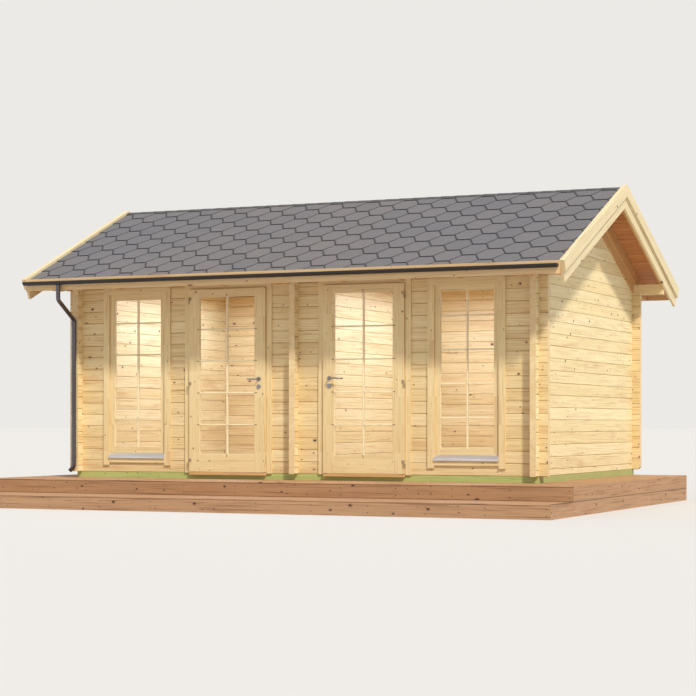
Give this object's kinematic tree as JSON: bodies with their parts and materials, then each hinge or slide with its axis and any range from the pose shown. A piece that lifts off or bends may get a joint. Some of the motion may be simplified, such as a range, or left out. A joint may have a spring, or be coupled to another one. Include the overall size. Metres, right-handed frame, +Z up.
{
  "type": "log cabin",
  "caption": "Gable-roofed log cabin with twin glazed doors and tall windows on a two-level timber deck, corners notched log over log.",
  "frame": {"origin": "on the ground, under the middle of the whole outline", "axes": "+X along the ridge to the right seen from the front, +Y from the front doors to the back, +Z up"},
  "size_m": [7.1, 5.8994, 3.6877],
  "materials": {
    "wall_pine": "planed softwood logs with V joints, sun-warmed",
    "trim_pine": "planed softwood trim",
    "door_pine": "planed and glued joinery softwood",
    "barge_pine": "planed softwood boards, paler where the sun reaches",
    "rough_timber": "sawn softwood",
    "soffit_pine": "planed tongue and groove boards",
    "floor_pine": "planed tongue and groove floor boards",
    "deck_timber": "brown pressure-treated deck boards",
    "treated_timber": "green pressure-treated beam",
    "glass": "clear double glazing",
    "aluminium": "satin anodised",
    "steel": "brushed stainless",
    "shingle": "slate-coloured mineral felt shingles",
    "gutter": "near-black coated steel"
  },
  "bodies": {
    "cabin": {"deck_joists": "rough_timber", "deck_boards": "deck_timber", "step_boards": "deck_timber", "deck_fascias": "deck_timber", "foundation_beams": "treated_timber", "floor_boards": "floor_pine", "front_wall_left": "wall_pine", "front_wall_centre": "wall_pine", "front_wall_right": "wall_pine", "front_wall_top": "wall_pine", "back_wall": "wall_pine", "left_gable_wall": "wall_pine", "right_gable_wall": "wall_pine", "partition_wall": "wall_pine", "window_frames": "door_pine", "window_glass": "glass", "window_trims": "trim_pine", "window_sills": "aluminium", "door_frames": "door_pine", "door_thresholds": "trim_pine", "door_trims": "trim_pine", "frame_hinges": "steel", "ridge_beam": "rough_timber", "rafters": "rough_timber", "roof_boards": "soffit_pine", "eaves_blocking": "soffit_pine", "roof_shingles": "shingle", "ridge_capping": "shingle", "bargeboards": "barge_pine", "bargeboard_covers": "barge_pine", "gable_trims": "barge_pine", "eaves_boards": "barge_pine", "gutters": "gutter", "downpipes": "gutter"},
    "door_left": {"left_door_leaf": "door_pine", "left_door_glass": "glass", "left_door_roses": "steel", "left_door_hinges": "steel"},
    "lever_left": {"left_door_lever": "steel"},
    "door_right": {"right_door_leaf": "door_pine", "right_door_glass": "glass", "right_door_roses": "steel", "right_door_hinges": "steel"},
    "lever_right": {"right_door_lever": "steel"}
  },
  "joints": [
    {"name": "door_left_hinge", "type": "hinge", "parent": "cabin", "child": "door_left", "pos_m": [-1.3475, -1.38715, 1.4], "axis": [0, 0, -1], "range_deg": [0, 110]},
    {"name": "lever_left_turn", "type": "hinge", "parent": "door_left", "child": "lever_left", "pos_m": [-0.443, -1.35965, 1.452], "axis": [0, -1, 0], "range_deg": [0, 45], "stiffness_Nm_per_rad": 2, "springref_deg": -22.92},
    {"name": "door_right_hinge", "type": "hinge", "parent": "cabin", "child": "door_right", "pos_m": [1.3475, -1.38715, 1.4], "axis": [0, 0, 1], "range_deg": [0, 110]},
    {"name": "lever_right_turn", "type": "hinge", "parent": "door_right", "child": "lever_right", "pos_m": [0.443, -1.35965, 1.452], "axis": [0, 1, 0], "range_deg": [0, 45], "stiffness_Nm_per_rad": 2, "springref_deg": -22.92}
  ]
}
